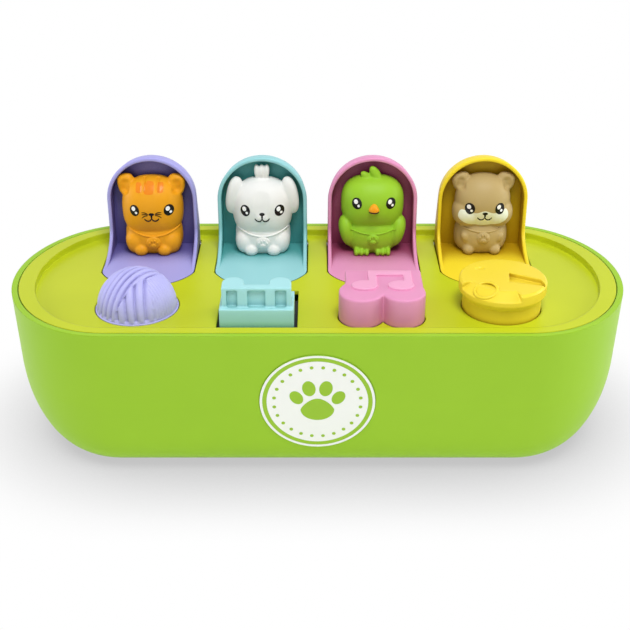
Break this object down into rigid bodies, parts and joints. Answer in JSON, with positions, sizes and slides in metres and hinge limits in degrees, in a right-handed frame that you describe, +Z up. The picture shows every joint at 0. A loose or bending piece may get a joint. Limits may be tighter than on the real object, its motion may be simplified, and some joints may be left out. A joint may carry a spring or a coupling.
{
  "type": "pop up animal toy",
  "caption": "Long tub with a deck of sprung lids; a press, slide, press and turn action in front of each frees a lid, and an animal figure swings up",
  "frame": {"origin": "middle of the tub's flat bottom face", "axes": "+X along the toy to the right as seen from its front, +Y to the rear where the lids stand, +Z up"},
  "size_m": [0.32, 0.1352, 0.1355],
  "materials": {
    "tub_green": "moulded polypropylene, satin",
    "deck_yellow_green": "moulded ABS, satin",
    "badge_white": "printed plastic disc",
    "purple": "moulded ABS, satin",
    "teal": "moulded ABS, satin",
    "pink": "moulded ABS, satin",
    "yellow": "moulded ABS, satin",
    "cat_orange": "moulded vinyl, soft gloss",
    "dog_white": "moulded vinyl, soft gloss",
    "bird_green": "moulded vinyl, soft gloss",
    "hamster_tan": "moulded vinyl, soft gloss",
    "steel": "drawn steel",
    "inner_plastic": "natural acetal"
  },
  "bodies": {
    "housing": {"tub": "tub_green", "deck": "deck_yellow_green", "badge": "badge_white", "housing_screws": "steel", "cat_hinge_pin": "steel", "dog_hinge_pin": "steel", "bird_hinge_pin": "steel", "hamster_hinge_pin": "steel", "cat_lever_pin": "steel", "dog_lever_pin": "steel", "bird_lever_pin": "steel", "hamster_lever_pin": "steel", "yarn_spring": "steel", "note_spring": "steel"},
    "cat_lid": {"cat_hood": "purple", "cat_figure": "cat_orange", "cat_lid_spring": "steel"},
    "dog_lid": {"dog_hood": "teal", "dog_figure": "dog_white", "dog_lid_spring": "steel"},
    "bird_lid": {"bird_hood": "pink", "bird_figure": "bird_green", "bird_lid_spring": "steel"},
    "hamster_lid": {"hamster_hood": "yellow", "hamster_figure": "hamster_tan", "hamster_lid_spring": "steel"},
    "yarn": {"yarn_button": "purple"},
    "bone": {"bone_slider": "teal", "bone_keeper": "teal"},
    "note": {"note_key": "pink"},
    "cap": {"cap_knob": "yellow", "knob_keeper": "yellow"},
    "cat_latch": {"cat_latch_lever": "inner_plastic", "cat_lever_spring": "steel"},
    "dog_latch": {"dog_latch_lever": "inner_plastic", "dog_lever_spring": "steel"},
    "bird_latch": {"bird_latch_lever": "inner_plastic", "bird_lever_spring": "steel"},
    "hamster_latch": {"hamster_latch_lever": "inner_plastic", "hamster_lever_spring": "steel"}
  },
  "joints": [
    {"name": "cat_lid_swing", "type": "hinge", "parent": "housing", "child": "cat_lid", "pos_m": [-0.0915, 0.05, 0.07875], "axis": [1, 0, 0], "range_deg": [0, 90], "stiffness_Nm_per_rad": 0.02, "springref_deg": -40.11},
    {"name": "dog_lid_swing", "type": "hinge", "parent": "housing", "child": "dog_lid", "pos_m": [-0.0305, 0.05, 0.07875], "axis": [1, 0, 0], "range_deg": [0, 90], "stiffness_Nm_per_rad": 0.02, "springref_deg": -40.11},
    {"name": "bird_lid_swing", "type": "hinge", "parent": "housing", "child": "bird_lid", "pos_m": [0.0305, 0.05, 0.07875], "axis": [1, 0, 0], "range_deg": [0, 90], "stiffness_Nm_per_rad": 0.02, "springref_deg": -40.11},
    {"name": "hamster_lid_swing", "type": "hinge", "parent": "housing", "child": "hamster_lid", "pos_m": [0.0915, 0.05, 0.07875], "axis": [1, 0, 0], "range_deg": [0, 90], "stiffness_Nm_per_rad": 0.02, "springref_deg": -40.11},
    {"name": "yarn_press", "type": "slide", "parent": "housing", "child": "yarn", "axis": [0, 0, -1], "range_m": [0, 0.0035], "stiffness_N_per_m": 400, "springref_m": -0.004, "deforming": ["yarn_spring"]},
    {"name": "bone_slide", "type": "slide", "parent": "housing", "child": "bone", "axis": [0, 1, 0], "range_m": [0, 0.006], "stiffness_N_per_m": 150, "springref_m": -0.004},
    {"name": "note_press", "type": "slide", "parent": "housing", "child": "note", "axis": [0, 0, -1], "range_m": [0, 0.0035], "stiffness_N_per_m": 400, "springref_m": -0.004, "deforming": ["note_spring"]},
    {"name": "cap_turn", "type": "hinge", "parent": "housing", "child": "cap", "pos_m": [0.0932, -0.03, 0.09], "axis": [0, 0, 1], "range_deg": [-60, 0], "stiffness_Nm_per_rad": 0.02, "springref_deg": 22.92},
    {"name": "cat_latch_rock", "type": "hinge", "parent": "housing", "child": "cat_latch", "pos_m": [-0.0915, -0.017, 0.06], "axis": [1, 0, 0], "range_deg": [0, 17.2]},
    {"name": "dog_latch_rock", "type": "hinge", "parent": "housing", "child": "dog_latch", "pos_m": [-0.0305, -0.017, 0.06], "axis": [1, 0, 0], "range_deg": [0, 14.7]},
    {"name": "bird_latch_rock", "type": "hinge", "parent": "housing", "child": "bird_latch", "pos_m": [0.0305, -0.017, 0.06], "axis": [1, 0, 0], "range_deg": [0, 17.2]},
    {"name": "hamster_latch_rock", "type": "hinge", "parent": "housing", "child": "hamster_latch", "pos_m": [0.0915, -0.017, 0.06], "axis": [1, 0, 0], "range_deg": [0, 14.7]}
  ],
  "couplings": [
    {"joint": "cat_latch_rock", "follows": "yarn_press", "rad_per_m": 84.773},
    {"joint": "dog_latch_rock", "follows": "bone_slide", "rad_per_m": 42.179},
    {"joint": "bird_latch_rock", "follows": "note_press", "rad_per_m": 84.773},
    {"joint": "hamster_latch_rock", "follows": "cap_turn", "ratio": -0.24167}
  ]
}
